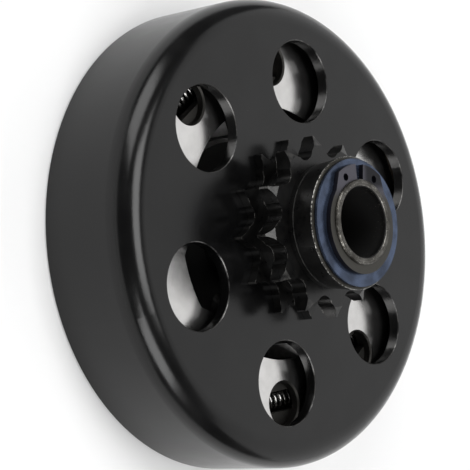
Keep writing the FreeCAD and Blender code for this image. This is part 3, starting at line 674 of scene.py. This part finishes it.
@dataclass(frozen=True)
class GroundSteel:
    """Sintered steel, lapped bright on the flat faces and matt on the rest."""

    worn: Colour = (0.62, 0.61, 0.60)
    bright: Colour = (0.70, 0.69, 0.68)
    cloud: Grain = (4.0, 4.0)
    matt: Colour = (0.055, 0.053, 0.050)
    pitted: Colour = (0.025, 0.024, 0.022)
    pores: Grain = (0.28, 2.0)
    pits: Span = (0.55, 0.7)
    pore_depth: float = 0.03
    lapped_off: float = 0.94
    lapped_slope: Span = (0.9, 0.97)
    lapped_inset: Span = (0.3, 0.1)
    half_thickness: float = (SHOE_FRONT - SHOE_REAR) / 2.0
    scratch_centre: Place = (30.0, -16.0, 0.0)
    scratch_rings: Grain = (0.5, 5.0)
    scratched: Span = (0.60, 0.68)
    scratch_patches: Grain = (6.0, 2.0)
    scratch_cover: Span = (0.45, 0.6)
    scratch_depth: float = 0.0012
    metal: float = 1.0
    roughness: float = 0.50
    lapped_gloss: float = 0.32
    cloud_roughness: float = 0.08
    scratch_roughness: float = 0.05

    def scratches(self, graph: Graph) -> Wire:
        """Draw the lapping scratches, which are arcs round a point beside the shaft.

        Args:
            graph: The material's graph.

        Returns:
            The scratches, 0 to 1.
        """
        reach = graph.vector("LENGTH", graph.vector("SUBTRACT", graph.plan, self.scratch_centre))
        arcs = graph.noise(self.scratch_rings, at=graph.add("ShaderNodeCombineXYZ", {}, {0: reach}))
        patches = graph.noise(self.scratch_patches)
        return arcs.rise(*self.scratched) * patches.rise(*self.scratch_cover)

    def material(self) -> bpy.types.Material:
        """Make the finish.

        Returns:
            The finished material.
        """
        graph = Graph("ground_steel")
        cloud = graph.noise(self.cloud)
        pores = graph.noise(self.pores)
        scratches = self.scratches(graph)
        ends = graph.height.distance(SHOE_MIDDLE)
        ends = ends.rise(*(self.half_thickness - inset for inset in self.lapped_inset))
        flat = graph.upward.distance(0.0).rise(*self.lapped_slope) * ends
        ground = graph.blend(cloud.rise(*EVEN), self.worn, self.bright)
        sintered = graph.blend(pores.rise(*self.pits), self.matt, self.pitted)
        relief = graph.bump(pores * (1.0 - self.lapped_off * flat), self.pore_depth)
        roughness = self.roughness - flat * self.lapped_gloss
        roughness = roughness + self.cloud_roughness * cloud + self.scratch_roughness * scratches
        return graph.finish(
            Base_Color=graph.blend(flat, sintered, ground),
            Metallic=self.metal,
            Roughness=roughness,
            Normal=graph.bump(scratches, self.scratch_depth, relief),
        )


@dataclass(frozen=True)
class SpringWire:
    """Oiled spring wire with a fine grain."""

    dark: Colour = (0.26, 0.255, 0.25)
    light: Colour = (0.55, 0.54, 0.52)
    cloud: Grain = (1.4, 3.0)
    light_patches: Span = (0.35, 0.7)
    metal: float = 1.0
    roughness: float = 0.16
    cloud_roughness: float = 0.12
    grain: Grain = (0.12, 2.0)
    grain_depth: float = 0.003

    def material(self) -> bpy.types.Material:
        """Make the finish.

        Returns:
            The finished material.
        """
        graph = Graph("spring_wire")
        cloud = graph.noise(self.cloud)
        return graph.finish(
            Base_Color=graph.blend(cloud.rise(*self.light_patches), self.dark, self.light),
            Metallic=self.metal,
            Roughness=self.roughness + self.cloud_roughness * cloud,
            Normal=graph.bump(graph.noise(self.grain), self.grain_depth),
        )


@dataclass(frozen=True)
class FrictionLining:
    """Moulded, grainy friction material with metal flecks."""

    dark: Colour = (0.055, 0.045, 0.036)
    light: Colour = (0.11, 0.088, 0.066)
    grains: Grain = (0.7, 4.0)
    grain_depth: float = 0.06
    brassy: Colour = (0.38, 0.27, 0.15)
    flecks: Grain = (0.4, 2.0)
    fleck_shift: Place = (40.0, 7.0, 3.0)
    fleck_specks: Span = (0.66, 0.70)
    fleck_metal: float = 0.9
    roughness: float = 0.82
    fleck_gloss: float = 0.35

    def material(self) -> bpy.types.Material:
        """Make the finish.

        Returns:
            The finished material.
        """
        graph = Graph("friction_lining")
        grains = graph.noise(self.grains)
        flecks = graph.noise(self.flecks, at=graph.vector("ADD", graph.place, self.fleck_shift))
        shine = flecks.rise(*self.fleck_specks)
        tone = graph.blend(grains.rise(*EVEN), self.dark, self.light)
        return graph.finish(
            Base_Color=graph.blend(shine, tone, self.brassy),
            Metallic=shine * self.fleck_metal,
            Roughness=self.roughness - self.fleck_gloss * shine,
            Normal=graph.bump(grains, self.grain_depth),
        )


@dataclass(frozen=True)
class PlainSteel:
    """Plain steel with a light film of oil, as on the rivets."""

    name: str = "rivet_steel"
    low: Colour = (0.035, 0.034, 0.033)
    high: Colour = (0.075, 0.073, 0.070)
    cloud: Grain = (1.5, 4.0)
    metal: float = 1.0
    roughness: float = 0.36
    cloud_roughness: float = 0.2
    grain: Grain = (0.4, 3.0)
    grain_depth: float = 0.01

    def material(self) -> bpy.types.Material:
        """Make the finish.

        Returns:
            The finished material.
        """
        graph = Graph(self.name)
        cloud = graph.noise(self.cloud)
        return graph.finish(
            Base_Color=graph.blend(cloud.rise(*EVEN), self.low, self.high),
            Metallic=self.metal,
            Roughness=self.roughness + self.cloud_roughness * cloud,
            Normal=graph.bump(graph.noise(self.grain), self.grain_depth),
        )


@dataclass(frozen=True)
class PorousBronze:
    """Oil filled sintered bronze."""

    low: Colour = (0.22, 0.13, 0.055)
    high: Colour = (0.45, 0.29, 0.13)
    cloud: Grain = (2.0, 4.0)
    pitted: Colour = (0.06, 0.035, 0.015)
    pores: Grain = (0.22, 2.0)
    pits: Span = (0.58, 0.7)
    pore_depth: float = 0.02
    metal: float = 1.0
    roughness: float = 0.38
    pore_roughness: float = 0.2

    def material(self) -> bpy.types.Material:
        """Make the finish.

        Returns:
            The finished material.
        """
        graph = Graph("porous_bronze")
        pores = graph.noise(self.pores).rise(*self.pits)
        tone = graph.blend(graph.noise(self.cloud).rise(*EVEN), self.low, self.high)
        return graph.finish(
            Base_Color=graph.blend(pores, tone, self.pitted),
            Metallic=self.metal,
            Roughness=self.roughness + self.pore_roughness * pores,
            Normal=graph.bump(1.0 - pores, self.pore_depth),
        )


@dataclass(frozen=True)
class PaleFloor:
    """Plain pale studio floor."""

    colour: Colour = (0.74, 0.74, 0.74)
    roughness: float = 0.9
    glow: float = 0.13

    def material(self) -> bpy.types.Material:
        """Return the finished material."""
        return Graph("pale_floor").finish(
            Base_Color=self.colour,
            Roughness=self.roughness,
            Emission_Color=WHITE,
            Emission_Strength=self.glow,
        )


class Body(Enum):
    """Names of the moving bodies; a spring half is named after its shoe."""

    DRIVER = "driver"
    SHOE_A = "shoe_a"
    SHOE_B = "shoe_b"


@dataclass
class SpringPair:
    """The two tension springs, wound from round wire along a bent line.

    Each spring is made as two halves that meet inside the driving lug.
    """

    level: float = SHOE_MIDDLE
    # Distance of a straight run from the shaft axis, and its slope beside the lug
    line: float = 38.6
    tilt: float = math.radians(15.7)
    end_face: float = low_side("shoe_a", "x")
    coil_radius: float = 2.5
    wire_radius: float = 0.5
    coil_pitch: float = 1.68
    # Coiled length of one straight run
    straight: float = 15.6
    hook_radius: float = 2.3
    hook_turn: float = math.radians(220.0)
    steps_per_turn: int = 20
    bevel_steps: int = 4
    lead: float = 0.01
    weld_reach: float = 0.0001
    finish: SpringWire = SpringWire()

    @property
    def bend_radius(self) -> float:
        """Return the radius of the bend inside the driving lug."""
        return self.end_face / math.sin(self.tilt)

    @property
    def top(self) -> float:
        """Find the spring's middle.

        Returns:
            How far it lies from the shaft axis.
        """
        foot_x = self.line * math.sin(self.tilt)
        foot_y = self.line * math.cos(self.tilt)
        entry_y = foot_y + (foot_x - self.end_face) * math.tan(self.tilt)
        return entry_y + self.bend_radius * (1.0 - math.cos(self.tilt))

    @property
    def half_length(self) -> float:
        """Return the coiled length from the spring's middle to a hook."""
        return self.tilt * self.bend_radius + self.straight

    def frame_at(self, run: float) -> tuple[Vector, Vector]:
        """Follow the spring's centre line.

        Args:
            run: Distance along it from its middle.

        Returns:
            The point, and the unit direction along the line.
        """
        turned = min(run / self.bend_radius, self.tilt)
        straight = run - turned * self.bend_radius
        across = self.bend_radius * math.sin(turned) + straight * math.cos(self.tilt)
        up = self.top - self.bend_radius * (1.0 - math.cos(turned)) - straight * math.sin(self.tilt)
        return Vector((across, up, self.level)), Vector((math.cos(turned), -math.sin(turned), 0.0))

    def coil_line(self) -> list[Vector]:
        """Draw the centre line of half the coils.

        Returns:
            Its points, from the spring's middle outwards.
        """
        half = self.half_length
        turns = round(2.0 * half / self.coil_pitch)
        steps = turns * self.steps_per_turn // 2
        line = []
        for step in range(steps + 1):
            point, along = self.frame_at(half * step / steps)
            outward = Vector((-along.y, along.x, 0.0))
            angle = math.pi * turns + math.tau * step / self.steps_per_turn
            swing = outward * math.cos(angle) + Vector((0.0, 0.0, 1.0)) * math.sin(angle)
            line.append(point + swing * self.coil_radius)
        # The wire starts along its own tangent, so that both halves' ends lie on each other
        start = Vector((line[1].x, 0.0, line[1].z - self.level)).normalized()
        line.insert(1, line[0] + start * self.lead)
        return line

    def hook_line(self) -> list[Vector]:
        """Draw the centre line of the hook at the end of the coils.

        Returns:
            Its points, from the coils to the hook's tip.
        """
        centre, along = self.frame_at(self.half_length + self.hook_radius + self.wire_radius)
        outward = Vector((-along.y, along.x, 0.0))
        line = []
        for step in range(1, self.steps_per_turn + 1):
            angle = math.pi / 2 - self.hook_turn * step / self.steps_per_turn
            line.append(centre + (along * math.cos(angle) + outward * math.sin(angle)) * self.hook_radius)
        return line

    def wind(self, name: str, turn: float, flip: float) -> bpy.types.Object:
        """Make half a spring as a mesh.

        Args:
            name: The piece's name.
            turn: Rotation about the shaft axis, in radians.
            flip: Rotation about the line from the shaft to the spring's middle, in radians.

        Returns:
            The half's object.
        """
        curve = bpy.data.curves.new(name + "_line", "CURVE")
        curve.dimensions = "3D"
        curve.bevel_depth = self.wire_radius * MM
        curve.bevel_resolution = self.bevel_steps
        curve.use_fill_caps = True
        line = self.coil_line() + self.hook_line()
        spline = curve.splines.new("POLY")
        spline.points.add(len(line) - 1)
        lift = Matrix.Translation((0.0, 0.0, self.level))
        place = Matrix.Rotation(turn, 4, "Z") @ lift @ Matrix.Rotation(flip, 4, "Y") @ lift.inverted()
        for point, target in zip(spline.points, line):
            point.co = (*(place @ target * MM), 1.0)
        source = bpy.data.objects.new(name + "_line", curve)
        bpy.context.scene.collection.objects.link(source)
        bpy.context.view_layer.update()
        evaluated = source.evaluated_get(bpy.context.evaluated_depsgraph_get())
        mesh = bpy.data.meshes.new_from_object(evaluated)
        bpy.data.objects.remove(source)
        surface = bmesh.new()
        surface.from_mesh(mesh)
        bmesh.ops.remove_doubles(surface, verts=surface.verts, dist=self.weld_reach * MM)
        bmesh.ops.recalc_face_normals(surface, faces=surface.faces)
        surface.to_mesh(mesh)
        surface.free()
        mesh.shade_smooth()
        piece = bpy.data.objects.new(name, mesh)
        bpy.context.scene.collection.objects.link(piece)
        return piece

    def hang(self, number: int, shoe: Body, turn: float, flip: float, material: bpy.types.Material) -> None:
        """Wind half a spring, running from the driver to a shoe, and hide the plain solid.

        Args:
            number: The spring's number.
            shoe: The shoe that the half is hooked to.
            turn: Rotation about the shaft axis, in radians.
            flip: Rotation about the line from the shaft to the spring's middle, in radians.
            material: The wire's material.
        """
        side = shoe.value.removeprefix("shoe_")
        piece = self.wind("round_wire_spring_%d_%s" % (number, side), turn, flip)
        piece.data.materials.clear()
        piece.data.materials.append(material)
        hooked, _ = self.frame_at(self.half_length - self.coil_radius)
        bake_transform(piece)
        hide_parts("spring_%d" % number)
        LOG.info("spring %d has %d faces towards shoe %s", number, len(piece.data.polygons), side)

    def build(self) -> None:
        """Wind both springs and put them in place of their plain solids."""
        material = self.finish.material()
        self.hang(1, Body.SHOE_A, 0.0, 0.0, material)
        self.hang(1, Body.SHOE_B, 0.0, math.pi, material)
        self.hang(2, Body.SHOE_B, math.pi, 0.0, material)
        self.hang(2, Body.SHOE_A, math.pi, math.pi, material)


def dress(material: bpy.types.Material, *nodes: str) -> None:
    """Give solids of the frame one finish.

    Args:
        material: The finish.
        nodes: Names of the solids.
    """
    for name in nodes:
        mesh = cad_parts[name].data
        mesh.materials.clear()
        mesh.materials.append(material)
        LOG.info("%s has %s", name, material.name)


@dataclass
class DrumAssembly:
    """What turns with the chain: drum, sprocket and bush."""

    coating: DrumCoating = DrumCoating()
    oxide: BlackOxide = BlackOxide()
    bronze: PorousBronze = PorousBronze()

    def build(self) -> None:
        """Dress the drum's solids."""
        dress(self.coating.material(), "drum")
        dress(self.oxide.material(), "sprocket")
        dress(self.bronze.material(), "sprocket_bush")


@dataclass
class DriverAssembly:
    """What turns with the shaft, apart from the shoes."""

    hub: WornHub = WornHub()
    washer: BluedSteel = BluedSteel()
    ring: RingSteel = RingSteel()
    plate: PlainSteel = PlainSteel("plate_steel", (0.020, 0.020, 0.0205), (0.045, 0.045, 0.046))
    rivet: PlainSteel = PlainSteel()
    rivet_count: int = 4

    def build(self) -> None:
        """Dress the driver's solids and wind its springs."""
        dress(self.hub.material(), "driver_hub")
        dress(self.washer.material(), "outer_thrust_washer", "inner_thrust_washer")
        dress(self.ring.material(), "snap_ring")
        dress(self.plate.material(), "rear_plate")
        rivets = ("plate_rivet_%d" % (number + 1) for number in range(self.rivet_count))
        dress(self.rivet.material(), *rivets)
        SpringPair().build()


@dataclass
class ShoePair:
    """Both shoes with their linings and spring pins."""

    steel: GroundSteel = GroundSteel()
    lining: FrictionLining = FrictionLining()
    pin: PlainSteel = PlainSteel("pin_steel", (0.3, 0.3, 0.29), (0.5, 0.5, 0.48))

    def build(self) -> None:
        """Dress the shoes' solids."""
        dress(self.steel.material(), "shoe_a", "shoe_b")
        dress(self.lining.material(), "lining_a", "lining_b")
        pins = ("spring_pin_%s_%d" % (side, number) for side in "ab" for number in (1, 2))
        dress(self.pin.material(), *pins)


@dataclass(frozen=True)
class Softbox:
    """An oblong studio light that faces the clutch; its angles are in degrees."""

    name: str
    azimuth: float
    elevation: float
    distance: float
    width: float
    height: float
    radiance: float

    def build(self) -> None:
        """Hang the light and aim it at the clutch."""
        light = bpy.data.lights.new(self.name, "AREA")
        light.shape = "RECTANGLE"
        light.size = self.width
        light.size_y = self.height
        light.energy = self.radiance * math.pi * self.width * self.height
        lamp = bpy.data.objects.new(self.name, light)
        bpy.context.scene.collection.objects.link(lamp)
        across = self.distance * math.cos(math.radians(self.elevation))
        turn = math.radians(self.azimuth)
        rise = self.distance * math.sin(math.radians(self.elevation))
        lamp.location = (across * math.cos(turn), across * math.sin(turn), rise)
        lamp.rotation_euler = lamp.location.to_track_quat("Z", "Y").to_euler()
        lamp.visible_camera = False


@dataclass
class Studio:
    """Floor, lights and the camera at the photograph's viewing angle."""

    sky: float = 0.12
    backdrop: float = 0.98
    camera_place: Place = (0.3112434, -0.0891515, 0.2970710)
    camera_right: Place = (-0.60529548, 0.29555697, 0.73909638)
    camera_up: Place = (-0.34805599, -0.93331759, 0.08817768)
    camera_back: Place = (0.71587318, -0.20387337, 0.66780330)
    lens: float = 141.72
    sensor_width: float = 36.0
    nearest: float = 0.01
    farthest: float = 20.0
    floor_half: float = 2.5
    floor_level: float = -0.00002
    lights: tuple[Softbox, ...] = (
        Softbox("overhead", azimuth=-105.0, elevation=83.5, distance=1.0,
                width=0.48, height=0.66, radiance=5.6),
        Softbox("left", azimuth=-82.0, elevation=31.0, distance=1.1,
                width=0.66, height=0.66, radiance=4.1),
        Softbox("right", azimuth=33.0, elevation=36.0, distance=1.1,
                width=0.58, height=0.59, radiance=5.2),
        Softbox("backdrop", azimuth=152.0, elevation=28.5, distance=1.9,
                width=4.6, height=2.5, radiance=0.86),
        Softbox("low", azimuth=-20.0, elevation=5.0, distance=2.2,
                width=6.0, height=0.45, radiance=0.9),
    )

    def build(self) -> None:
        """Set up everything round the clutch."""
        self._floor()
        self._world()
        for light in self.lights:
            light.build()
        self._camera()

    def _floor(self) -> None:
        """Lay the floor a hair under the drum's rim."""
        surface = bmesh.new()
        bmesh.ops.create_grid(surface, x_segments=1, y_segments=1, size=self.floor_half)
        bmesh.ops.translate(surface, verts=surface.verts, vec=(0.0, 0.0, self.floor_level))
        mesh = bpy.data.meshes.new("floor")
        surface.to_mesh(mesh)
        surface.free()
        mesh.materials.append(PaleFloor().material())
        floor = bpy.data.objects.new("floor", mesh)
        bpy.context.scene.collection.objects.link(floor)

    def _world(self) -> None:
        """Make a dim room that looks white where the camera sees past the floor."""
        world = bpy.data.worlds.new("studio")
        world.use_nodes = True
        tree = world.node_tree
        path = tree.nodes.new("ShaderNodeLightPath")
        strength = tree.nodes.new("ShaderNodeMapRange")
        strength.inputs["To Min"].default_value = self.sky
        strength.inputs["To Max"].default_value = self.backdrop
        background = tree.nodes["Background"]
        background.inputs["Color"].default_value = (*WHITE, 1.0)
        tree.links.new(path.outputs["Is Camera Ray"], strength.inputs["Value"])
        tree.links.new(strength.outputs["Result"], background.inputs["Strength"])
        bpy.context.scene.world = world
        bpy.context.scene.view_settings.view_transform = "Standard"

    def _camera(self) -> None:
        """Place the camera."""
        data = bpy.data.cameras.new("camera")
        data.sensor_width = self.sensor_width
        data.sensor_fit = "HORIZONTAL"
        data.lens = self.lens
        data.clip_start = self.nearest
        data.clip_end = self.farthest
        camera = bpy.data.objects.new("camera", data)
        bpy.context.scene.collection.objects.link(camera)
        axes = Matrix((self.camera_right, self.camera_up, self.camera_back)).transposed()
        camera.matrix_world = Matrix.Translation(self.camera_place) @ axes.to_4x4()
        bpy.context.scene.camera = camera


def main() -> None:
    """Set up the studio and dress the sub-assemblies in order."""
    logging.basicConfig(level=logging.INFO, format="%(name)s: %(message)s")
    Studio().build()
    for assembly in (DrumAssembly(), DriverAssembly(), ShoePair()):
        assembly.build()
        LOG.info("%s is done", type(assembly).__name__)


if __name__ == "__main__":
    main()
